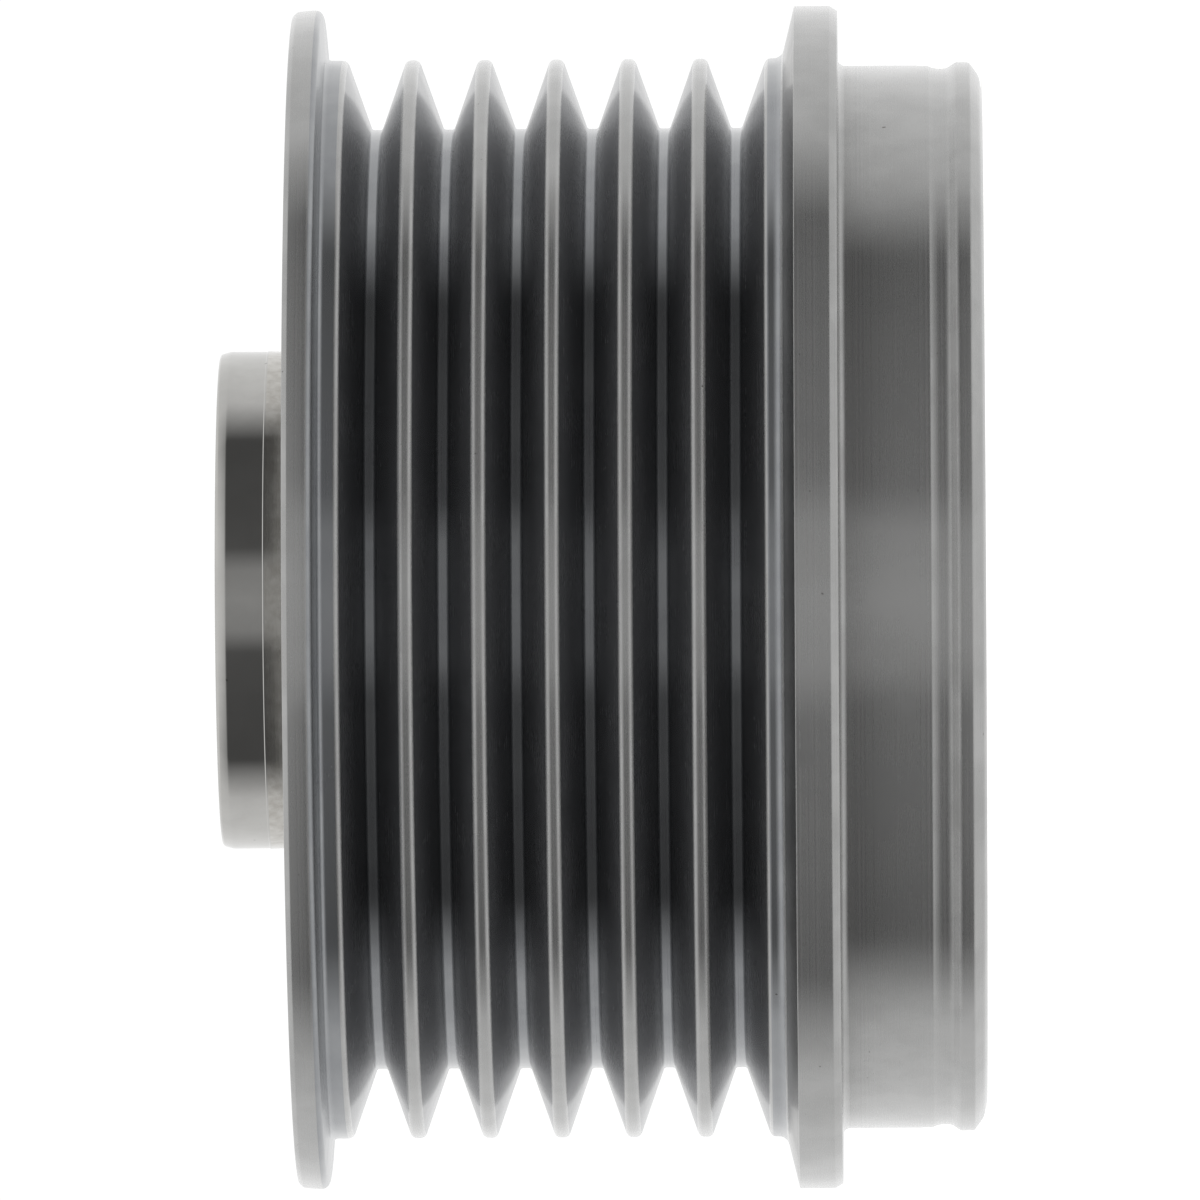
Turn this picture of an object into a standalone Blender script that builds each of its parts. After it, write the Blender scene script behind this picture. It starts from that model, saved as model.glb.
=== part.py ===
# Overrunning alternator pulley for a six-rib belt: a grooved steel ring that turns on two
# ball bearings round its hub, with a one-way roller clutch between the bearings.
# Metres, +Z up. It stands on its front rim, its axis is Z, and the hub nose is on top.
# Radii are worked out from the hub outwards, and heights from the front rim up to the nose.

from math import acos, cos, hypot, pi, radians, sin, tan

import bmesh
import bpy
from mathutils import Matrix, Vector

# Hub: plain shaft bore from the nose, thread, and serrated tool socket at the front
shaft_bore_diameter = 0.017
shaft_bore_depth = 0.0135
shaft_bore_chamfer = 0.0006
thread_step = 0.0013
thread_chamfer = 0.0006
hub_wall = 0.00385
hub_front_chamfer = 0.0003
nose_length = 0.00368
nose_rounding = 0.0005
socket_teeth = 33
socket_wall = 0.0013
socket_tooth_height = 0.0006
socket_depth = 0.0095
socket_chamfer = 0.0003

# Ball bearings: each is a ring pair with a cage of balls between two seals
ball_count = 12
ball_diameter = 0.0035
race_wall = 0.000925
race_gap = 0.0022
ball_cage_clearance = 0.0004
ball_cage_base = 0.0005
ball_cage_grip = 0.0012
seal_thickness = 0.0005
seal_inset = 0.00015
seal_seat = 0.0005
front_bearing_inset = 0.0006
rear_bearing_inset = 0.0006

# Roller clutch: rollers wedge between the inner sleeve and the ramps of the outer sleeve
roller_count = 8
roller_diameter = 0.0026
roller_chamfer = 0.0002
ramp_sleeve_wall = 0.0009
ramp_rise = 0.0006
land_drop = 0.0002
cage_end_width = 0.0015
spring_space = 0.002
spring_height = 0.006
spring_strip = 0.00016
spring_legs = 4
spring_depth = 0.0013

# Shares of one roller's sector of the clutch: where the roller, the ramp's end and its step lie
roller_share = 0.18
ramp_share = 0.5
step_share = 0.03

# Belt track, with the shoulders beside the outermost grooves
ring_wall = 0.00438
groove_count = 6
groove_pitch = 0.00356
groove_angle = radians(40)
groove_bottom_width = 0.00045
rib_land = 0.000606
rib_corner = 0.00025
shoulder_width = 0.00107
bore_chamfer = 0.0004

# Flanges: the inner faces lean back from the shoulder to the rim
front_flange_height = 0.00258
front_flange_width = 0.00218
front_flange_corner = 0.0002
rear_flange_height = 0.0025
rear_flange_width = 0.00145
rear_rim_fullness = 0.62
flange_lean = 0.0002
flange_fillet = 0.0003

# Front collar, with the snap groove and the lip that hold a dust cap, and the recess inside it
collar_wall = 0.003525
collar_length = 0.00722
collar_fillet = 0.0004
snap_groove_depth = 0.000145
snap_groove_width = 0.00079
snap_groove_cone = 0.0005
lip_height = 0.000175
lip_width = 0.00141
lip_rounding = 0.0005
recess_step = 0.0039
recess_depth = 0.0048
recess_chamfer = 0.0005

# Clearance between neighbouring pieces
fit_gap = 0.0003

# Facets
ring_segments = 48
race_segments = 32
race_steps = 3
roller_segments = 12
pocket_segments = 12
smooth_angle = radians(30)
same_place = 0.000001

# Surfaces: linear colour, roughness, metallic
turned_steel = ((0.56, 0.56, 0.55), 0.3, 1.0)
ground_steel = ((0.66, 0.66, 0.66), 0.18, 1.0)
hardened_steel = ((0.34, 0.34, 0.35), 0.4, 1.0)
spring_steel = ((0.48, 0.47, 0.45), 0.3, 1.0)
nitrile_rubber = ((0.025, 0.025, 0.027), 0.6, 0.0)
filled_nylon = ((0.09, 0.085, 0.07), 0.5, 0.0)

# Hub and bearing radii
shaft_bore_radius = shaft_bore_diameter / 2
thread_radius = shaft_bore_radius - thread_step
hub_radius = shaft_bore_radius + hub_wall
socket_root_radius = hub_radius - socket_wall
socket_tip_radius = socket_root_radius - socket_tooth_height
ball_radius = ball_diameter / 2
race_radius = ball_radius + fit_gap
race_edge_angle = acos(race_gap / 2 / race_radius)
inner_ring_bore = hub_radius + fit_gap
ball_path_radius = inner_ring_bore + race_wall + race_radius
outer_ring_outside = ball_path_radius + race_radius + race_wall
inner_shoulder = ball_path_radius - race_gap / 2
outer_shoulder = ball_path_radius + race_gap / 2
inner_seal_seat = inner_shoulder - seal_seat
outer_seal_seat = outer_shoulder + seal_seat
bore_radius = outer_ring_outside + fit_gap

# Clutch radii, from the ramp sleeve in the bore to the inner sleeve on the hub
roller_radius = roller_diameter / 2
ramp_at_roller = outer_ring_outside - ramp_sleeve_wall - ramp_rise
sleeve_land = ramp_at_roller - land_drop
roller_path_radius = ramp_at_roller - fit_gap - roller_radius
inner_sleeve_outside = roller_path_radius - roller_radius - fit_gap
roller_side = roller_radius + fit_gap
spring_side = roller_side + spring_space

# Ring radii
groove_depth = (groove_pitch - rib_land - groove_bottom_width) / 2 / tan(groove_angle / 2)
groove_bottom_radius = bore_radius + ring_wall
rib_radius = groove_bottom_radius + groove_depth
front_flange_radius = rib_radius + front_flange_height
rear_flange_radius = rib_radius + rear_flange_height
recess_radius = bore_radius + recess_step
collar_radius = recess_radius + collar_wall
snap_groove_radius = collar_radius - snap_groove_depth
lip_radius = collar_radius + lip_height

# Heights of the ring and the hub
snap_groove_top = lip_width + snap_groove_width
collar_edge = snap_groove_top + snap_groove_cone
front_rim_top = collar_length + front_flange_width
front_track_edge = front_rim_top + flange_lean
groove_mouth = groove_pitch - rib_land
first_groove = front_track_edge + shoulder_width + groove_mouth / 2
last_groove = first_groove + (groove_count - 1) * groove_pitch
rear_track_edge = last_groove + groove_mouth / 2 + shoulder_width
rear_rim_bottom = rear_track_edge + flange_lean
rear_face = rear_rim_bottom + rear_flange_width
rear_rim_rounding = rear_rim_fullness * rear_flange_width / 2
hub_front = recess_depth
nose_end = rear_face + nose_length
socket_end = hub_front + socket_depth
thread_end = nose_end - shaft_bore_depth

# Heights of the bearings and the clutch
half_race_land = race_radius + ball_cage_base
half_bearing = half_race_land + fit_gap + seal_thickness + seal_inset
front_bearing_centre = recess_depth + front_bearing_inset + half_bearing
rear_bearing_centre = rear_face - rear_bearing_inset - half_bearing
clutch_bottom = front_bearing_centre + half_bearing + fit_gap
clutch_top = rear_bearing_centre - half_bearing - fit_gap
clutch_centre = (clutch_bottom + clutch_top) / 2
window_bottom = clutch_bottom + cage_end_width
window_top = clutch_top - cage_end_width
roller_length = window_top - window_bottom - 2 * fit_gap


def remove_everything():
    for old in list(bpy.data.objects):
        bpy.data.objects.remove(old, do_unlink=True)


def finish(name, surface):
    """A plain Principled material of one colour."""
    colour, roughness, metallic = surface
    material = bpy.data.materials.new(name)
    material.use_nodes = True
    shader = material.node_tree.nodes["Principled BSDF"]
    shader.inputs["Base Color"].default_value = (*colour, 1.0)
    shader.inputs["Roughness"].default_value = roughness
    shader.inputs["Metallic"].default_value = metallic
    material.diffuse_color = (*colour, 1.0)
    return material


def mesh_from(bm):
    bmesh.ops.recalc_face_normals(bm, faces=bm.faces)
    mesh = bpy.data.meshes.new("shape")
    bm.to_mesh(mesh)
    bm.free()
    return mesh


def put(name, mesh, surface, parent=None, place=(0, 0, 0), turn=0.0):
    """A named piece; the first piece made from a mesh gives the mesh its name and material."""
    if not mesh.materials:
        mesh.name = name
        mesh.materials.append(finish(name, surface))
        mesh.shade_smooth()
        mesh.set_sharp_from_angle(angle=smooth_angle)
    piece = bpy.data.objects.new(name, mesh)
    piece.location = place
    piece.rotation_euler = (0, 0, turn)
    piece.parent = parent
    bpy.context.collection.objects.link(piece)
    return piece


def cut(piece, cutter_name, bm):
    """A live difference; the cutter stays as a wire guide beside the piece."""
    cutter = bpy.data.objects.new(cutter_name, mesh_from(bm))
    cutter.parent = piece.parent
    cutter.hide_render = True
    cutter.display_type = "WIRE"
    bpy.context.collection.objects.link(cutter)
    modifier = piece.modifiers.new(cutter_name, "BOOLEAN")
    modifier.operation = "DIFFERENCE"
    modifier.solver = "EXACT"
    modifier.object = cutter


def rounded(corners):
    """Outline points for corners given as (radius, height) or (radius, height, rounding, steps)."""
    points = []
    for index, corner in enumerate(corners):
        here = Vector(corner[:2])
        if len(corner) == 2:
            points.append(here)
            continue
        rounding, steps = corner[2:]
        back = (Vector(corners[index - 1][:2]) - here).normalized()
        ahead = (Vector(corners[(index + 1) % len(corners)][:2]) - here).normalized()
        half_corner = back.angle(ahead) / 2
        middle = here + (back + ahead).normalized() * (rounding / sin(half_corner))
        start = here + back * (rounding / tan(half_corner)) - middle
        end = here + ahead * (rounding / tan(half_corner)) - middle
        sweep = start.angle_signed(end)
        for step in range(steps + 1):
            points.append(middle + Matrix.Rotation(-sweep * step / steps, 2) @ start)
    return points


def spun(outline, segments):
    """A closed outline of (radius, height) points turned once round Z."""
    bm = bmesh.new()
    verts = [bm.verts.new((radius, 0, height)) for radius, height in outline]
    for index, vert in enumerate(verts):
        bm.edges.new((verts[index - 1], vert))
    bmesh.ops.spin(bm, geom=bm.verts[:] + bm.edges[:], axis=(0, 0, 1), cent=(0, 0, 0),
                   angle=2 * pi, steps=segments, use_merge=True)
    return bm


def add_prism(bm, outline, bottom, top):
    """A flat outline of (x, y) points extruded from the bottom height to the top height."""
    base = bm.faces.new([bm.verts.new((x, y, bottom)) for x, y in outline])
    grown = bmesh.ops.extrude_face_region(bm, geom=[base])
    raised = [item for item in grown["geom"] if isinstance(item, bmesh.types.BMVert)]
    bmesh.ops.translate(bm, verts=raised, vec=(0, 0, top - bottom))


def washer(inside, outside, bottom, top):
    """A plain ring of rectangular section."""
    outline = [(inside, bottom), (outside, bottom), (outside, top), (inside, top)]
    return mesh_from(spun(outline, race_segments))


def groove_corners():
    """Rib edge, groove bottom and next rib edge of each groove, from the front to the rear."""
    corners = []
    for index in range(groove_count):
        centre = first_groove + index * groove_pitch
        corners.append((rib_radius, centre - groove_mouth / 2, rib_corner, 1))
        corners.append((groove_bottom_radius, centre - groove_bottom_width / 2))
        corners.append((groove_bottom_radius, centre + groove_bottom_width / 2))
        corners.append((rib_radius, centre + groove_mouth / 2, rib_corner, 1))
    return corners


def make_ring():
    """The turned ring: up the outside from the front rim, and down the bore to the recess."""
    front = [
        (recess_radius, 0, recess_chamfer, 1),
        (lip_radius, 0, lip_rounding, 3),
        (lip_radius, lip_width),
        (snap_groove_radius, lip_width),
        (snap_groove_radius, snap_groove_top),
        (collar_radius, collar_edge),
        (collar_radius, collar_length, collar_fillet, 2),
        (front_flange_radius, collar_length, front_flange_corner, 1),
        (front_flange_radius, front_rim_top, front_flange_corner, 1),
        (rib_radius, front_track_edge, flange_fillet, 1),
    ]
    rear = [
        (rib_radius, rear_track_edge, flange_fillet, 1),
        (rear_flange_radius, rear_rim_bottom, rear_rim_rounding, 3),
        (rear_flange_radius, rear_face, rear_rim_rounding, 3),
        (bore_radius, rear_face, bore_chamfer, 1),
        (bore_radius, recess_depth, bore_chamfer, 1),
        (recess_radius, recess_depth),
    ]
    outline = rounded(front + groove_corners() + rear)
    put("pulley_ring", mesh_from(spun(outline, ring_segments)), turned_steel)


def make_hub():
    """The turned hub; every other spoke of the socket wall stands in as a tooth."""
    outline = rounded([
        (hub_radius, nose_end, nose_rounding, 2),
        (hub_radius, hub_front, hub_front_chamfer, 1),
        (socket_root_radius, hub_front, socket_chamfer, 1),
        (socket_root_radius, socket_end),
        (thread_radius, socket_end, thread_chamfer, 1),
        (thread_radius, thread_end),
        (shaft_bore_radius, thread_end),
        (shaft_bore_radius, nose_end, shaft_bore_chamfer, 1),
    ])
    bm = spun(outline, 2 * socket_teeth)
    for vert in bm.verts:
        radius = hypot(vert.co.x, vert.co.y)
        on_wall = abs(radius - socket_root_radius) < same_place
        spoke = round(Vector((1, 0)).angle_signed(vert.co.xy, 0) * socket_teeth / pi)
        if on_wall and spoke % 2:
            vert.co.xy *= socket_tip_radius / radius
    put("hub_shaft", mesh_from(bm), turned_steel)


def bearing_ring(fitted, shoulder, seat, side):
    """A bearing ring about its middle height; side is -1 on the inner ring, 1 on the outer."""
    race = []
    for step in range(race_steps + 1):
        angle = race_edge_angle * (2 * step / race_steps - 1)
        race.append((ball_path_radius + side * race_radius * cos(angle), race_radius * sin(angle)))
    lower = [(fitted, -half_bearing), (seat, -half_bearing)]
    lower += [(seat, -half_race_land), (shoulder, -half_race_land)]
    upper = [(radius, -height) for radius, height in reversed(lower)]
    return mesh_from(spun(lower + race + upper, race_segments))


def ball_pockets():
    """Radial round holes, one for each ball."""
    bm = bmesh.new()
    for index in range(ball_count):
        turn = Matrix.Rotation(2 * pi * index / ball_count, 4, "Z")
        out = Matrix.Translation((ball_path_radius, 0, 0))
        lying = Matrix.Rotation(pi / 2, 4, "Y")
        bmesh.ops.create_cone(bm, cap_ends=True, segments=pocket_segments, radius1=race_radius,
                              radius2=race_radius, depth=2 * race_gap, matrix=turn @ out @ lying)
    return bm


def make_bearing(end, centre, flip):
    """One sealed ball bearing; its parts hang on an empty at its middle, on the pulley axis."""
    seat = bpy.data.objects.new(end + "_bearing_centre", None)
    seat.location = (0, 0, centre)
    seat.rotation_euler = (flip, 0, 0)
    bpy.context.collection.objects.link(seat)

    inner = bearing_ring(inner_ring_bore, inner_shoulder, inner_seal_seat, -1)
    outer = bearing_ring(outer_ring_outside, outer_shoulder, outer_seal_seat, 1)
    put(end + "_bearing_inner_ring", inner, ground_steel, seat)
    put(end + "_bearing_outer_ring", outer, ground_steel, seat)

    seal_inside = inner_seal_seat + fit_gap
    seal_outside = outer_seal_seat - fit_gap
    seal_bottom = seal_inset - half_bearing
    seal_top = seal_bottom + seal_thickness
    outside = washer(seal_inside, seal_outside, seal_bottom, seal_top)
    inside = washer(seal_inside, seal_outside, -seal_top, -seal_bottom)
    put(end + "_outside_seal", outside, nitrile_rubber, seat)
    put(end + "_inside_seal", inside, nitrile_rubber, seat)

    cage_inside = inner_shoulder + ball_cage_clearance
    cage_outside = outer_shoulder - ball_cage_clearance
    cage_mesh = washer(cage_inside, cage_outside, -ball_cage_grip, half_race_land)
    cage = put(end + "_ball_cage", cage_mesh, filled_nylon, seat)
    cut(cage, end + "_ball_pockets", ball_pockets())

    bm = bmesh.new()
    bmesh.ops.create_icosphere(bm, subdivisions=2, radius=ball_radius)
    ball = mesh_from(bm)
    for index in range(ball_count):
        angle = 2 * pi * index / ball_count
        place = (ball_path_radius * cos(angle), ball_path_radius * sin(angle), 0)
        put(f"{end}_ball_{index + 1:02d}", ball, ground_steel, seat, place)


def ramp_radius(share):
    """Inside radius of the ramp sleeve, over one roller's sector of the turn from 0 to 1."""
    slope = ramp_rise / (ramp_share - roller_share)
    if share > ramp_share:
        return sleeve_land
    return max(sleeve_land, ramp_at_roller + slope * (share - roller_share))


def make_ramp_sleeve():
    """Outer clutch sleeve: its inside climbs past each roller and drops back to a land."""
    shares = [0, roller_share, (roller_share + ramp_share) / 2, ramp_share]
    shares += [ramp_share + step_share, (1 + ramp_share) / 2]
    inside = []
    outside = []
    for index in range(roller_count):
        for share in shares:
            angle = 2 * pi * (index + share - roller_share) / roller_count
            spoke = Vector((cos(angle), sin(angle), 0))
            inside.append(spoke * ramp_radius(share))
            outside.append(spoke * outer_ring_outside)
    bm = bmesh.new()
    loops = []
    for spots, height in ((inside, clutch_bottom), (outside, clutch_bottom),
                          (outside, clutch_top), (inside, clutch_top)):
        loops.append([bm.verts.new((spot.x, spot.y, height)) for spot in spots])
    for index, start in enumerate(loops):
        end = loops[index - 1]
        for spot in range(len(inside)):
            bm.faces.new((start[spot - 1], start[spot], end[spot], end[spot - 1]))
    put("clutch_ramp_sleeve", mesh_from(bm), hardened_steel)


def roller_windows():
    """Upright openings through the clutch cage, each for a roller and its spring."""
    inside = inner_sleeve_outside - fit_gap
    outside = ramp_at_roller + fit_gap
    near = -roller_side
    far = spring_side + fit_gap
    bm = bmesh.new()
    for index in range(roller_count):
        turn = Matrix.Rotation(2 * pi * index / roller_count, 2)
        corners = [(inside, near), (outside, near), (outside, far), (inside, far)]
        add_prism(bm, [turn @ Vector(corner) for corner in corners], window_bottom, window_top)
    return bm


def roller_mesh():
    bm = bmesh.new()
    bmesh.ops.create_cone(bm, cap_ends=True, segments=roller_segments, radius1=roller_radius,
                          radius2=roller_radius, depth=roller_length)
    rims = [edge for edge in bm.edges if edge.verts[0].co.z * edge.verts[1].co.z > 0]
    bmesh.ops.bevel(bm, geom=rims, offset=roller_chamfer, segments=1, affect="EDGES")
    return mesh_from(bm)


def strip_side(line, offset):
    """The line moved sideways by the offset, with its corners mitred."""
    side = []
    for index, point in enumerate(line):
        before = (point - line[index - 1]).normalized() if index else None
        after = (line[index + 1] - point).normalized() if index + 1 < len(line) else None
        leg = after or before
        along = ((before or after) + leg).normalized()
        across = Vector((-along.y, along.x))
        side.append(point + across * (offset / across.dot(Vector((-leg.y, leg.x)))))
    return side


def spring_mesh():
    """A folded leaf spring at +X that pushes its roller into the narrow end of the ramp."""
    start = roller_side + spring_strip
    travel = spring_space - fit_gap - 2 * spring_strip
    line = []
    for fold in range(spring_legs + 1):
        swing = spring_depth / 2 if fold % 2 else -spring_depth / 2
        line.append(Vector((roller_path_radius + swing, start + travel * fold / spring_legs)))
    outline = strip_side(line, spring_strip / 2) + strip_side(line, -spring_strip / 2)[::-1]
    bm = bmesh.new()
    add_prism(bm, outline, -spring_height / 2, spring_height / 2)
    return mesh_from(bm)


def make_clutch():
    """Ramp sleeve in the bore, inner sleeve on the hub, and the cage of rollers and springs."""
    make_ramp_sleeve()
    inner = washer(inner_ring_bore, inner_sleeve_outside, clutch_bottom, clutch_top)
    put("clutch_inner_sleeve", inner, ground_steel)

    cage_inside = inner_sleeve_outside + fit_gap
    cage_outside = sleeve_land - fit_gap
    cage_mesh = washer(cage_inside, cage_outside, clutch_bottom, clutch_top)
    cut(put("clutch_cage", cage_mesh, filled_nylon), "roller_windows", roller_windows())

    roller = roller_mesh()
    spring = spring_mesh()
    for index in range(roller_count):
        angle = 2 * pi * index / roller_count
        place = (roller_path_radius * cos(angle), roller_path_radius * sin(angle), clutch_centre)
        put(f"clutch_roller_{index + 1:02d}", roller, hardened_steel, place=place, turn=angle)
        place = (0, 0, clutch_centre)
        put(f"clutch_spring_{index + 1:02d}", spring, spring_steel, place=place, turn=angle)


remove_everything()
make_ring()
make_hub()
make_bearing("front", front_bearing_centre, 0)
make_bearing("rear", rear_bearing_centre, pi)
make_clutch()
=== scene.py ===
# The looks of an overrunning alternator pulley. The turned ring, the hub, the bearing rings and
# the seals are modelled again with their fine edges, the rest keeps its solids, and every piece
# gets its own finish. The Z axis is the pulley's axis; the front rim stands on the floor and the
# hub nose points up. Sections are drawn beside the axis as corners (radius, height) in
# millimetres; a corner with two more numbers is rounded to that radius in that many steps.
from math import acos, cos, hypot, pi, radians, sin, tan

import bmesh
import bpy
from mathutils import Matrix, Vector


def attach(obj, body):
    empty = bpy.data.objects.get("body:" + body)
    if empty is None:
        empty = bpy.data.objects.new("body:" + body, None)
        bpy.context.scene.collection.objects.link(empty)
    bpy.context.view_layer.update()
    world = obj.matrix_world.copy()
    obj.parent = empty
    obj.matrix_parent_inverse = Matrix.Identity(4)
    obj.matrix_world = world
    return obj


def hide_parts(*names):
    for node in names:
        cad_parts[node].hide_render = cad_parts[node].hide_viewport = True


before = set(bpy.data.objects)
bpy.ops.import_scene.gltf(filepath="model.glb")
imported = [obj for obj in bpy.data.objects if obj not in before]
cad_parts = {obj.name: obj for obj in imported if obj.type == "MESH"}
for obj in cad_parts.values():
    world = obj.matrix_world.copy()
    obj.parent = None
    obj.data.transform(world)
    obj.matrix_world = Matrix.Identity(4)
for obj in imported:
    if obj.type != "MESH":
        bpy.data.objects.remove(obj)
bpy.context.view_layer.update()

mm = 0.001
same_place = 0.000001   # metres between points that count as one

# Heights of the ring, the hub and the bearings along the axis
rear_face = 34.09
nose_end = 37.81
recess_depth = 4.8
socket_end = 14.3
thread_end = 24.324
front_bearing_middle = 8.9
rear_bearing_middle = 30.044

# Ring: recess, bearing bore, lip, snap groove, collar and flanges
recess_radius = 22.8
bearing_bore = 18.9
lip_radius = 26.5
snap_groove_radius = 26.18
collar_radius = 26.325
collar_end = 7.14
front_flange_radius = 29.298
rear_flange_radius = 29.22

# Belt grooves
groove_count = 6
groove_pitch = 3.56
first_groove = 12.147
groove_mouth = 2.954
groove_floor = 0.53
groove_radius = 23.28
rib_radius = 26.724

# Hub, bearings and fitting tool socket
hub_radius = 12.349
nose_radius = 12.32
shaft_bore = 8.5
thread_crest = 7.2
thread_root = 8.0
thread_pitch = 1.5
socket_root = 11.05
socket_tip = 10.45
socket_teeth = 33
steps_per_tooth = 8
ball_path = 15.625
race_radius = 2.05
race_gap = 2.2
half_bearing = 3.5
half_race_land = 2.55
race_steps = 12
seal_inside = 14.33
seal_outside = 16.92

# Steps round the axis, fine enough for smooth outlines
ring_steps = 256
bearing_steps = 192
seal_steps = 160
thread_steps = 64

# The ring's finishes, in the order of its material slots. The last three are darker copies of the
# same steel, and that darkness is painted shade in the grooves and on and beside the flanges.
turned, form_cut_painted_shade, faced_painted_shade, flank_painted_shade = range(4)


def linear(code):
    """An sRGB hex colour as linear red, green and blue."""
    parts = [int(code[start:start + 2], 16) / 255 for start in (0, 2, 4)]
    return [p / 12.92 if p <= 0.04045 else ((p + 0.055) / 1.055) ** 2.4 for p in parts]


def add(tree, kind, values=(), links=(), **settings):
    """A node with its properties set, its inputs filled, and its links from other nodes made."""
    node = tree.nodes.new(kind)
    for name, value in settings.items():
        setattr(node, name, value)
    for name, value in dict(values).items():
        node.inputs[name].default_value = value
    for name, source in dict(links).items():
        tree.links.new(source, node.inputs[name])
    return node


def set_up_camera():
    """Square on to the pulley's side through a long lens, axis level and nose to the left."""
    distance = 1.123
    looking_up = radians(0.75)
    roll = radians(0.31)
    target = Vector((-0.084, 0, 19.054)) * mm
    data = bpy.data.cameras.new("side_camera")
    data.sensor_width = 36
    data.lens = 679.3
    camera = bpy.data.objects.new("side_camera", data)
    bpy.context.scene.collection.objects.link(camera)
    back = Vector((0, -cos(looking_up), -sin(looking_up)))
    level = Vector((0, sin(looking_up), -cos(looking_up)))
    up = Vector((1, 0, 0))
    right = level * cos(roll) - up * sin(roll)
    top = up * cos(roll) + level * sin(roll)
    turn = Matrix((right, top, back)).transposed()
    camera.matrix_world = Matrix.Translation(target + back * distance) @ turn.to_4x4()
    bpy.context.scene.camera = camera


def set_up_light():
    """A plain soft studio, the same above and below: pale walls behind the pulley and at both
    ends, and a dim field on the camera's side with one soft lamp in its middle."""
    # Degrees round the axis, from 0 on the camera's side to 180 behind the pulley, and brightness
    lamp_and_walls = [(0, 0.35), (14, 0.3), (24, 0.1), (80, 0.08), (105, 0.7), (180, 1.0)]
    end_light = (0.85, 0.85, 0.85, 1)
    world = bpy.data.worlds.new("soft_studio")
    bpy.context.scene.world = world
    world.use_nodes = True
    tree = world.node_tree
    tree.nodes.clear()
    way = add(tree, "ShaderNodeTexCoord")
    parts = add(tree, "ShaderNodeSeparateXYZ", links={0: way.outputs["Generated"]})
    toward = add(tree, "ShaderNodeMath", {1: -1}, {0: parts.outputs["Y"]}, operation="MULTIPLY")
    angle = add(tree, "ShaderNodeMath", (), {0: parts.outputs["X"], 1: toward.outputs[0]},
                operation="ARCTAN2")
    either_way = add(tree, "ShaderNodeMath", (), {0: angle.outputs[0]}, operation="ABSOLUTE")
    half_round = add(tree, "ShaderNodeMapRange", {"From Min": 0, "From Max": pi},
                     {"Value": either_way.outputs[0]})
    ring = add(tree, "ShaderNodeValToRGB", (), {0: half_round.outputs[0]})
    ramp = ring.color_ramp
    while len(ramp.elements) < len(lamp_and_walls):
        ramp.elements.new(0.5)
    for element, (degrees_round, light) in zip(ramp.elements, lamp_and_walls):
        element.position = degrees_round / 180
        element.color = (light, light, light, 1)

    # The ring fades into the end walls along the axis. A mix node's inputs 6 and 7 are its two
    # colours, and its output 2 is the mixed one.
    along = add(tree, "ShaderNodeMath", (), {0: parts.outputs["Z"]}, operation="ABSOLUTE")
    share = add(tree, "ShaderNodeMapRange", {"From Min": 0.2, "From Max": 0.7},
                {"Value": along.outputs[0]}, interpolation_type="SMOOTHSTEP")
    room = add(tree, "ShaderNodeMix", {7: end_light}, {0: share.outputs[0], 6: ring.outputs[0]},
               data_type="RGBA")
    studio = add(tree, "ShaderNodeBackground", (), {"Color": room.outputs[2]})
    backdrop = add(tree, "ShaderNodeBackground", {"Color": (1, 1, 1, 1), "Strength": 1.05})
    looks = add(tree, "ShaderNodeLightPath")
    seen = add(tree, "ShaderNodeMixShader", (), {0: looks.outputs["Is Camera Ray"],
                                                 1: studio.outputs[0], 2: backdrop.outputs[0]})
    add(tree, "ShaderNodeOutputWorld", (), {"Surface": seen.outputs[0]})


def lay_floor():
    """A plain pale floor; the steel mirrors the studio and not the floor."""
    bpy.ops.object.select_all(action="DESELECT")
    bpy.ops.mesh.primitive_plane_add(size=6)
    floor = bpy.context.active_object
    floor.name = "studio_floor"
    material = bpy.data.materials.new("pale_paper")
    material.use_nodes = True
    shader = material.node_tree.nodes["Principled BSDF"]
    shader.inputs["Base Color"].default_value = (*linear("E9E8E4"), 1)
    shader.inputs["Roughness"].default_value = 1.0
    shader.inputs["Specular IOR Level"].default_value = 0.0
    shader.inputs["Emission Color"].default_value = (1, 1, 1, 1)
    shader.inputs["Emission Strength"].default_value = 0.75
    floor.data.materials.append(material)
    floor.visible_glossy = False
    floor.visible_diffuse = False


def pick(piece, test, kind="verts"):
    """In edit mode, selects only the points, or the edges or faces by their middle, that pass."""
    bpy.ops.mesh.select_all(action="DESELECT")
    bm = bmesh.from_edit_mesh(piece.data)
    for item in getattr(bm, kind):
        middle = item.co if kind == "verts" else sum((v.co for v in item.verts), Vector())
        if kind != "verts":
            middle = middle / len(item.verts)
        if test(middle):
            item.select_set(True)
    bm.select_flush(True)
    bmesh.update_edit_mesh(piece.data)


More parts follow.
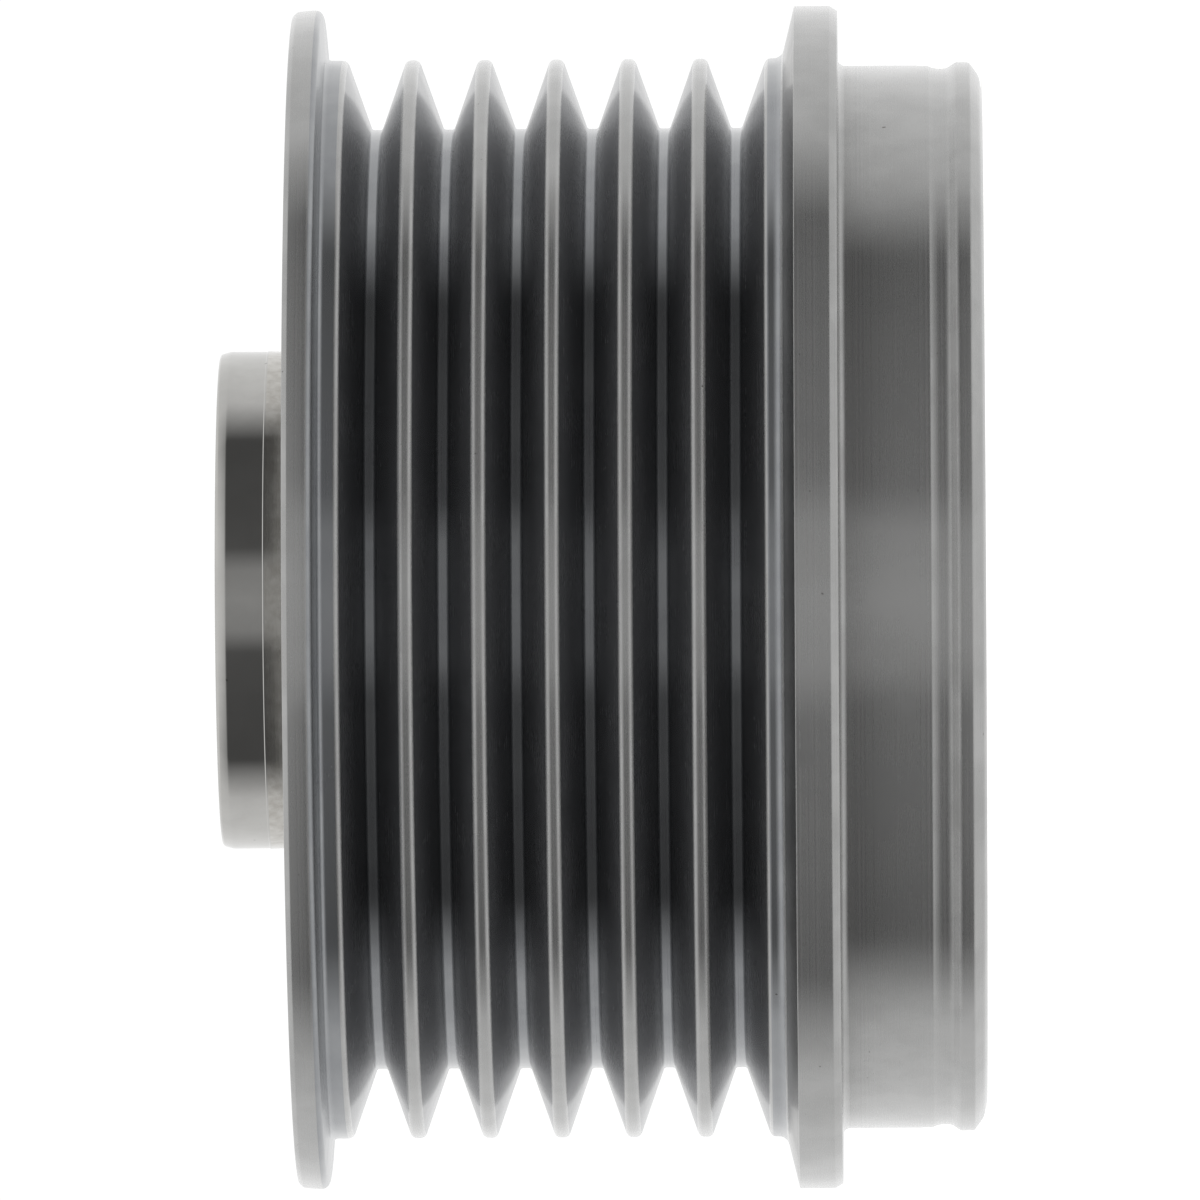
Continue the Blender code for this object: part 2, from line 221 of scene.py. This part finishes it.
def draw_section(name, corners):
    """A closed outline beside the axis: one point extruded from corner to corner, after which
    each corner given with a rounding and its number of steps is rounded off."""
    bpy.ops.object.select_all(action="DESELECT")
    bpy.ops.mesh.primitive_plane_add(size=mm)
    piece = bpy.context.active_object
    piece.name = piece.data.name = name
    bpy.ops.object.mode_set(mode="EDIT")
    bpy.ops.mesh.select_all(action="SELECT")
    bpy.ops.mesh.merge(type="CENTER")
    spots = [Vector((corner[0], 0, corner[1])) * mm for corner in corners]
    bpy.ops.transform.translate(value=spots[0])
    for last, spot in zip(spots, spots[1:]):
        bpy.ops.mesh.extrude_vertices_move(TRANSFORM_OT_translate={"value": spot - last})
    ends = (spots[0], spots[-1])
    pick(piece, lambda co: min((co - end).length for end in ends) < same_place)
    bpy.ops.mesh.edge_face_add()
    for index, corner in enumerate(corners):
        if len(corner) == 2:
            continue
        spot = spots[index]
        before = (spot - spots[index - 1]).normalized()
        after = (spots[(index + 1) % len(spots)] - spot).normalized()
        slide = corner[2] * mm * tan(before.angle(after) / 2)
        pick(piece, lambda co: (co - spot).length < same_place)
        bpy.ops.mesh.bevel(offset_type="OFFSET", offset=slide, segments=corner[3], profile=0.5,
                           affect="VERTICES", clamp_overlap=False)
    return piece


def turn_round(piece, steps):
    """Spins the outline once round the axis, as on a lathe, and closes the seam."""
    bpy.ops.mesh.select_all(action="SELECT")
    bpy.ops.mesh.spin(steps=steps, angle=2 * pi, center=(0, 0, 0), axis=(0, 0, 1))
    bpy.ops.mesh.select_all(action="SELECT")
    bpy.ops.mesh.remove_doubles(threshold=same_place)
    bpy.ops.mesh.normals_make_consistent(inside=False)


def finish_shading(piece, sharp=30):
    """Leaves edit mode; edges turn smooth below the angle, and flat lands stay truly flat."""
    bpy.ops.object.mode_set(mode="OBJECT")
    bpy.ops.object.select_all(action="DESELECT")
    piece.select_set(True)
    bpy.context.view_layer.objects.active = piece
    bpy.ops.object.shade_smooth_by_angle(angle=radians(sharp))
    weighted = piece.modifiers.new("flat_lands", "WEIGHTED_NORMAL")
    weighted.keep_sharp = True
    bpy.ops.object.modifier_apply(modifier=weighted.name)


def groove_corners():
    """Rib edge, groove floor and next rib edge of each belt groove, from the front to the rear."""
    corners = []
    for index in range(groove_count):
        middle = first_groove + index * groove_pitch
        corners.append((rib_radius, middle - groove_mouth / 2, 0.3, 6))
        corners.append((groove_radius, middle - groove_floor / 2, 0.15, 4))
        corners.append((groove_radius, middle + groove_floor / 2, 0.15, 4))
        corners.append((rib_radius, middle + groove_mouth / 2, 0.3, 6))
    return corners


def model_ring():
    """The turned ring with every edge broken, rolled or filleted as on the lathe."""
    lip = [
        (recess_radius, 0, 0.5, 3),
        (25.0, 0, 1.0, 3),
        (25.8, 0.13, 0.8, 4),
        (26.48, 0.62, 0.15, 4),
        (lip_radius, 1.29, 0.35, 5),
    ]
    snap_groove = [
        (snap_groove_radius, 1.76, 0.5, 5),
        (snap_groove_radius, 2.4, 1.0, 6),
    ]
    collar = [
        (collar_radius, 2.69),
        (collar_radius, collar_end, 0.38, 6),
    ]
    front_flange = [
        (29.06, collar_end, 0.08, 3),
        (front_flange_radius, 7.53, 0.15, 4),
        (front_flange_radius, 9.27, 0.05, 3),
        (rib_radius, 9.9, 0.5, 6),
    ]
    rear_flange = [
        (rib_radius, 32.42, 0.28, 5),
        (29.224, 32.63, 0.38, 6),
        (rear_flange_radius, 33.15, 1.2, 3),
        (29.152, 33.85, 0.12, 3),
        (28.95, rear_face, 0.15, 4),
    ]
    bore = [
        (bearing_bore, rear_face, 0.4, 3),
        (bearing_bore, recess_depth, 0.4, 3),
        (recess_radius, recess_depth, 0.2, 3),
    ]
    piece = draw_section("turned_pulley_ring", lip + snap_groove + collar + front_flange
                         + groove_corners() + rear_flange + bore)
    turn_round(piece, ring_steps)
    finish_shading(piece)
    return piece


def model_hub():
    """The hub: polished nose, the ledge where the polish ends, the tool socket and the bores."""
    nose = [
        (nose_radius - 0.14, nose_end, 0.22, 6),
        (nose_radius + 0.009, 37.26, 0.5, 4),
        (nose_radius, 35.47),
    ]
    ledge_and_dull_band = [
        (hub_radius, 35.43, 0.03, 3),
        (hub_radius - 0.003, 35.36),
        (12.325, 34.8),
        (12.305, 34.3),
        (12.272, 33.5),
    ]
    bores = [
        (hub_radius, recess_depth, 0.3, 3),
        (socket_root, recess_depth, 0.3, 1),
        (socket_root, socket_end),
        (thread_crest, socket_end, 0.6, 1),
        (thread_crest, thread_end, 0.6, 1),
        (shaft_bore, thread_end, 0.1, 2),
        (shaft_bore, nose_end, 0.6, 3),
    ]
    piece = draw_section("turned_hub", nose + ledge_and_dull_band + bores)
    steps = socket_teeth * steps_per_tooth
    turn_round(piece, steps)
    half_tooth = steps_per_tooth // 2
    for step in range(1, half_tooth + 1):
        rise = step / half_tooth

        def on_serration(co):
            above = co.z > socket_end * mm + same_place
            if above or abs(hypot(co.x, co.y) - socket_root * mm) > same_place:
                return False
            turn = Vector((1, 0)).angle_signed(co.xy, 0) / (2 * pi)
            spoke = round(turn * steps) % steps_per_tooth
            return min(spoke, steps_per_tooth - spoke) == step

        pick(piece, on_serration)
        size = 1 + rise * (socket_tip / socket_root - 1)
        bpy.ops.transform.resize(value=(size, size, 1), center_override=(0, 0, 0))
    bpy.ops.object.mode_set(mode="OBJECT")
    cut_thread(piece)
    bpy.ops.object.mode_set(mode="EDIT")
    finish_shading(piece, 12)
    return piece


def cut_thread(piece):
    """Cuts the screw thread with a tap, whose tooth is drawn once and run up the bore as a helix
    that starts and ends clear of the bore."""
    start = socket_end - thread_pitch
    turns = 9
    shank = thread_crest - 0.4
    beside_shank = (shank + 0.01) * mm
    tap = draw_section("tap", [
        (shank, start + 0.02),
        (thread_root, start + 0.67),
        (thread_root, start + 0.81),
        (shank, start + 1.46),
    ])
    pick(tap, lambda co: co.x < beside_shank, "edges")
    bpy.ops.mesh.delete(type="EDGE")
    bpy.ops.mesh.select_all(action="SELECT")
    bpy.ops.mesh.screw(steps=thread_steps, turns=turns, center=(0, 0, 0),
                       axis=(0, 0, thread_pitch * mm))
    pick(tap, lambda co: hypot(co.x, co.y) < beside_shank, "edges")
    bpy.ops.mesh.bridge_edge_loops()
    for low in (start, start + turns * thread_pitch):
        pick(tap, lambda co: co.x > 0 and abs(co.y) < same_place
             and low * mm < co.z < (low + thread_pitch) * mm)
        bpy.ops.mesh.edge_face_add()
    bpy.ops.mesh.select_all(action="SELECT")
    bpy.ops.mesh.normals_make_consistent(inside=False)
    bpy.ops.object.mode_set(mode="OBJECT")
    bpy.ops.object.select_all(action="DESELECT")
    piece.select_set(True)
    bpy.context.view_layer.objects.active = piece
    cut = piece.modifiers.new("tapped_thread", "BOOLEAN")
    cut.operation = "DIFFERENCE"
    cut.solver = "EXACT"
    cut.object = tap
    bpy.ops.object.modifier_apply(modifier=cut.name)
    bpy.data.objects.remove(tap, do_unlink=True)


def outer_race(side):
    """Race arc points from the lower shoulder to the upper one; side is 1 outside, -1 inside."""
    edge = acos(race_gap / 2 / race_radius)
    points = []
    for step in range(race_steps + 1):
        angle = edge * (step / (race_steps / 2) - 1)
        points.append((ball_path + side * race_radius * cos(angle), race_radius * sin(angle)))
    return points


def model_bearing_ring(name, fitted, shoulder, seat, side):
    """A ground bearing ring about its middle height, with its raceway and its seal seats."""
    lower = [(fitted, -half_bearing, 0.35, 4), (seat, -half_bearing, 0.12, 3),
             (seat, -half_race_land), (shoulder, -half_race_land, 0.08, 2)]
    upper = [(corner[0], -corner[1], *corner[2:]) for corner in reversed(lower)]
    piece = draw_section(name, lower + outer_race(side) + upper)
    turn_round(piece, bearing_steps)
    finish_shading(piece)
    return piece


def model_seal(name):
    """A moulded seal washer with a bead at each edge and a lip against the inner ring."""
    low = 0.15 - half_bearing
    piece = draw_section(name, [
        (seal_inside, low + 0.12, 0.06, 2),
        (14.46, low + 0.02, 0.05, 2),
        (14.75, low + 0.02, 0.05, 2),
        (14.9, low + 0.17, 0.05, 2),
        (16.3, low + 0.17, 0.05, 2),
        (16.42, low + 0.03, 0.05, 2),
        (16.8, low + 0.03, 0.05, 2),
        (seal_outside, low + 0.15, 0.05, 2),
        (seal_outside, low + 0.48, 0.05, 2),
        (seal_inside, low + 0.48, 0.05, 2),
    ])
    turn_round(piece, seal_steps)
    finish_shading(piece)
    return piece


def place_copy(piece, name, height, flipped=False):
    """Another one at a height in millimetres on the axis, with a mesh of its own."""
    twin = piece.copy()
    twin.data = piece.data.copy()
    twin.name = twin.data.name = name
    bpy.context.collection.objects.link(twin)
    bpy.ops.object.select_all(action="DESELECT")
    twin.select_set(True)
    bpy.context.view_layer.objects.active = twin
    twin.rotation_euler = (pi if flipped else 0, 0, 0)
    twin.location = (0, 0, height * mm)
    bpy.ops.object.transform_apply(location=True, rotation=True, scale=True)
    return twin


def steel(name, light, dark, roughness, stretch, feed, depth, patch, oil):
    """Bare steel. Feed is the spacing of the tool's or stone's marks round the axis and depth
    their height, both in millimetres; patch is the size of the cloudy patches; oil is how much
    of the preserving film is left on it."""
    material = bpy.data.materials.new(name)
    material.use_nodes = True
    tree = material.node_tree
    shader = tree.nodes["Principled BSDF"]
    shader.inputs["Metallic"].default_value = 1.0
    shader.inputs["Anisotropic"].default_value = stretch
    shader.inputs["Anisotropic Rotation"].default_value = 0.25
    shader.inputs["Coat Weight"].default_value = oil
    shader.inputs["Coat Roughness"].default_value = 0.06
    shader.inputs["Coat IOR"].default_value = 1.47

    spot = add(tree, "ShaderNodeTexCoord").outputs["Object"]
    across = add(tree, "ShaderNodeVectorMath", {1: (1, 1, 0)}, {0: spot}, operation="MULTIPLY")
    radius = add(tree, "ShaderNodeVectorMath", (), {0: across.outputs[0]}, operation="LENGTH")
    parts = add(tree, "ShaderNodeSeparateXYZ", (), {0: spot})
    travel = add(tree, "ShaderNodeMath", (), {0: radius.outputs["Value"], 1: parts.outputs["Z"]},
                 operation="ADD")
    marks = add(tree, "ShaderNodeTexNoise",
                {"Scale": 1 / (feed * mm), "Detail": 3.0, "Roughness": 0.7},
                {"W": travel.outputs[0]}, noise_dimensions="1D")
    clouds = add(tree, "ShaderNodeTexNoise",
                 {"Scale": 1 / (patch * mm), "Detail": 5.0, "Roughness": 0.6}, {"Vector": spot})
    grain = add(tree, "ShaderNodeTexNoise",
                {"Scale": 1 / (0.12 * mm), "Detail": 2.0, "Roughness": 0.6}, {"Vector": spot})
    specks = add(tree, "ShaderNodeTexNoise",
                 {"Scale": 1 / (0.35 * mm), "Detail": 1.0, "Roughness": 0.5}, {"Vector": spot})
    is_speck = add(tree, "ShaderNodeMapRange", {"From Min": 0.8, "From Max": 0.84},
                   {"Value": specks.outputs[0]})

    cloudy = add(tree, "ShaderNodeMapRange", {"From Min": 0.35, "From Max": 0.65},
                 {"Value": clouds.outputs[0]})
    metal = add(tree, "ShaderNodeMix", {6: (*linear(light), 1), 7: (*linear(dark), 1)},
                {0: cloudy.outputs[0]}, data_type="RGBA")
    pitted = add(tree, "ShaderNodeMix", {7: (*linear("4A443C"), 1)},
                 {0: is_speck.outputs[0], 6: metal.outputs[2]}, data_type="RGBA")
    tree.links.new(pitted.outputs[2], shader.inputs["Base Color"])

    mixed = add(tree, "ShaderNodeMath", (), {0: marks.outputs[0], 1: clouds.outputs[0]},
                operation="MULTIPLY")
    dull = add(tree, "ShaderNodeMapRange",
               {"From Min": 0.12, "From Max": 0.4, "To Min": roughness * 0.88,
                "To Max": roughness * 1.12}, {"Value": mixed.outputs[0]})
    tree.links.new(dull.outputs[0], shader.inputs["Roughness"])

    uneven = add(tree, "ShaderNodeMath", {1: 0.25}, {0: grain.outputs[0], 2: marks.outputs[0]},
                 operation="MULTIPLY_ADD")
    relief = add(tree, "ShaderNodeBump", {"Strength": 1.0, "Distance": depth * mm},
                 {"Height": uneven.outputs[0]})
    tree.links.new(relief.outputs[0], shader.inputs["Normal"])
    lay = add(tree, "ShaderNodeTangent", direction_type="RADIAL", axis="Z")
    tree.links.new(lay.outputs[0], shader.inputs["Tangent"])
    return material


def moulded(name, light, dark, roughness, speckle, size, depth, ior):
    """Moulded rubber or plastic: speckle is how strongly its filler shows, size its grain."""
    material = bpy.data.materials.new(name)
    material.use_nodes = True
    tree = material.node_tree
    shader = tree.nodes["Principled BSDF"]
    shader.inputs["IOR"].default_value = ior
    spot = add(tree, "ShaderNodeTexCoord").outputs["Object"]
    grain = add(tree, "ShaderNodeTexNoise",
                {"Scale": 1 / (size * mm), "Detail": 4.0, "Roughness": 0.6}, {"Vector": spot})
    clouds = add(tree, "ShaderNodeTexNoise",
                 {"Scale": 1 / (6 * mm), "Detail": 3.0, "Roughness": 0.5}, {"Vector": spot})
    both = add(tree, "ShaderNodeMath", {1: speckle}, {0: grain.outputs[0], 2: clouds.outputs[0]},
               operation="MULTIPLY_ADD")
    share = add(tree, "ShaderNodeMapRange",
                {"From Min": 0.35 + 0.35 * speckle, "From Max": 0.65 + 0.65 * speckle},
                {"Value": both.outputs[0]})
    colour = add(tree, "ShaderNodeMix", {6: (*linear(light), 1), 7: (*linear(dark), 1)},
                 {0: share.outputs[0]}, data_type="RGBA")
    tree.links.new(colour.outputs[2], shader.inputs["Base Color"])
    dull = add(tree, "ShaderNodeMapRange",
               {"From Min": 0.3, "From Max": 0.7, "To Min": roughness * 0.85,
                "To Max": roughness * 1.1}, {"Value": grain.outputs[0]})
    tree.links.new(dull.outputs[0], shader.inputs["Roughness"])
    relief = add(tree, "ShaderNodeBump", {"Strength": 1.0, "Distance": depth * mm},
                 {"Height": grain.outputs[0]})
    tree.links.new(relief.outputs[0], shader.inputs["Normal"])
    return material


def give(piece, *materials):
    """Sets a piece's material slots."""
    piece.data.materials.clear()
    for material in materials:
        piece.data.materials.append(material)


def put_on(piece, body, slot, *nodes):
    """Makes a piece ride on its body and stand for its nodes. The slot is not used."""
    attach(piece, body)
    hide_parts(*nodes)


def ring_finish_and_painted_shade(face):
    """The finish that the lathe left on one face of the ring. Groove floors, groove flanks, rib
    shoulders and flange sides get the darker slots, which carry painted shade.
    """
    radius = hypot(face.center.x, face.center.y) / mm
    height = face.center.z / mm
    if 23 < radius < 26.42 and 10.6 < height < 31.5:
        return flank_painted_shade if radius > 23.45 else form_cut_painted_shade
    shoulder = 26.4 < radius < 26.9 and (9 < height <= 10.6 or height >= 31.75)
    rear_flange_inner_side = radius > 26.9 and face.normal.z < -0.3 and height > 32
    if shoulder or rear_flange_inner_side:
        return form_cut_painted_shade
    if radius > 26.9 and abs(face.normal.z) > 0.95 and height < 10:
        return faced_painted_shade
    return turned


def hub_finish(face):
    """1 for the dull band beside the polished nose, 0 for the rest."""
    at = face.center / mm
    return int(hypot(at.x, at.y) > 12 and 33 < at.z < 35.3)


bpy.context.scene.view_settings.view_transform = "Standard"
set_up_camera()
set_up_light()
lay_floor()

# Carbon steel, fine-turned on a lathe and oiled: soft along the axis, sharp round it
turned_steel = steel("fine_turned_carbon_steel", "BDBDBC", "B4B4B3", roughness=0.27, stretch=1.0,
                     feed=0.1, depth=0.0004, patch=3.0, oil=0.4)
# The groove floors and rib shoulders, cut with a form tool: finer marks round the axis. Its darker
# colour is painted shade, from the grooves and from the flange walls beside the shoulders.
cut_steel_with_painted_shade = steel("form_cut_steel_painted_shade", "AAACAE", "A0A2A5", roughness=0.25, stretch=1.0,
                  feed=0.08, depth=0.0003, patch=3.0, oil=0.0)
# The sides of the flanges, cut across with a coarser feed: the darkest of the turned faces. That
# darkness is painted shade on the walls beside the collar and the grooves.
faced_steel_with_painted_shade = steel("faced_steel_painted_shade", "807F7D", "757472", roughness=0.2, stretch=1.0,
                    feed=0.15, depth=0.0004, patch=3.0, oil=0.0)
# The groove flanks, cut by the tool's sides: the steepest marks. Their darker colour is painted
# shade between the ribs, where the flanks mirror each other.
flank_steel_with_painted_shade = steel("flank_steel_painted_shade", "97989A", "8E8F91", roughness=0.25, stretch=1.0,
                    feed=0.08, depth=0.0003, patch=3.0, oil=0.0)
# The hub's nose, ground and polished: almost a mirror, with fine stone marks round it
polished_steel = steel("ground_polished_steel", "CCCBC8", "C4C3C0", roughness=0.1, stretch=0.2,
                       feed=0.06, depth=0.00008, patch=2.5, oil=0.0)
# Left as turned beside the polished nose: duller and patchy
dull_steel = steel("unpolished_steel", "D4D2CD", "BFBCB6", roughness=0.1, stretch=0.2,
                   feed=0.12, depth=0.0002, patch=0.6, oil=0.0)
# Bearing rings, ground bright, with a film of grease
bearing_steel = steel("ground_bearing_steel", "CBCBC9", "C4C4C2", roughness=0.24, stretch=0.7,
                      feed=0.06, depth=0.0002, patch=3.0, oil=0.3)
# Balls, lapped to a mirror, in the same film
ball_steel = steel("lapped_ball_steel", "D2D2D1", "CDCDCC", roughness=0.08, stretch=0.0,
                   feed=0.05, depth=0.00005, patch=2.0, oil=0.3)
# Clutch rollers and sleeves, hardened, so darker and greyer, then ground
hardened_steel = steel("hardened_ground_steel", "9E9D9B", "8A8885", roughness=0.36, stretch=0.5,
                       feed=0.08, depth=0.0003, patch=1.5, oil=0.5)
# Clutch springs, bent from rolled strip, with its soft sheen
strip_steel = steel("rolled_spring_strip", "B5B3AE", "A7A49D", roughness=0.3, stretch=0.3,
                    feed=0.05, depth=0.0001, patch=1.0, oil=0.3)
# Seals, moulded in black rubber: dark and matt
seal_rubber = moulded("moulded_nitrile_rubber", "262627", "1C1C1D", roughness=0.55, speckle=0.3,
                      size=0.15, depth=0.004, ior=1.52)
# Cages, moulded in glass-filled nylon: brownish, with the glass showing as specks
cage_nylon = moulded("moulded_glass_filled_nylon", "5A564C", "4A473F", roughness=0.45,
                     speckle=1.0, size=0.2, depth=0.003, ior=1.53)

ring = model_ring()
# The last three materials are the same steel darkened, as painted shade in the grooves and on and
# beside the flanges
give(ring, turned_steel, cut_steel_with_painted_shade, faced_steel_with_painted_shade, flank_steel_with_painted_shade)
for face in ring.data.polygons:
    face.material_index = ring_finish_and_painted_shade(face)
put_on(ring, "pulley", "ring_steel", "pulley_ring")

hub = model_hub()
give(hub, polished_steel, dull_steel)
for face in hub.data.polygons:
    face.material_index = hub_finish(face)
put_on(hub, "hub", "hub_steel", "hub_shaft")

outer_ring = model_bearing_ring("bearing_outer_ring_form", fitted=18.6, shoulder=16.725,
                                seat=17.225, side=1)
inner_ring = model_bearing_ring("bearing_inner_ring_form", fitted=12.65, shoulder=14.525,
                                seat=14.025, side=-1)
seal = model_seal("seal_form")
for end, middle, flipped in (("front", front_bearing_middle, False),
                             ("rear", rear_bearing_middle, True)):
    piece = place_copy(outer_ring, "ground_" + end + "_outer_ring", middle)
    give(piece, bearing_steel)
    put_on(piece, "pulley", "bearing_steel", end + "_bearing_outer_ring")
    piece = place_copy(inner_ring, "ground_" + end + "_inner_ring", middle)
    give(piece, bearing_steel)
    put_on(piece, "hub", "bearing_steel", end + "_bearing_inner_ring")
    piece = place_copy(seal, "moulded_" + end + "_seal", middle, flipped)
    give(piece, seal_rubber)
    put_on(piece, "pulley", "seal_rubber", end + "_outside_seal")
for form in (outer_ring, inner_ring, seal):
    bpy.data.objects.remove(form, do_unlink=True)

for name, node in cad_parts.items():
    if "_ball_cage" in name or name == "clutch_cage":
        give(node, cage_nylon)
    elif "_ball_" in name:
        give(node, ball_steel)
    elif name.endswith("_seal"):
        give(node, seal_rubber)
    elif "_spring_" in name:
        give(node, strip_steel)
    elif name.startswith("clutch_"):
        give(node, hardened_steel)
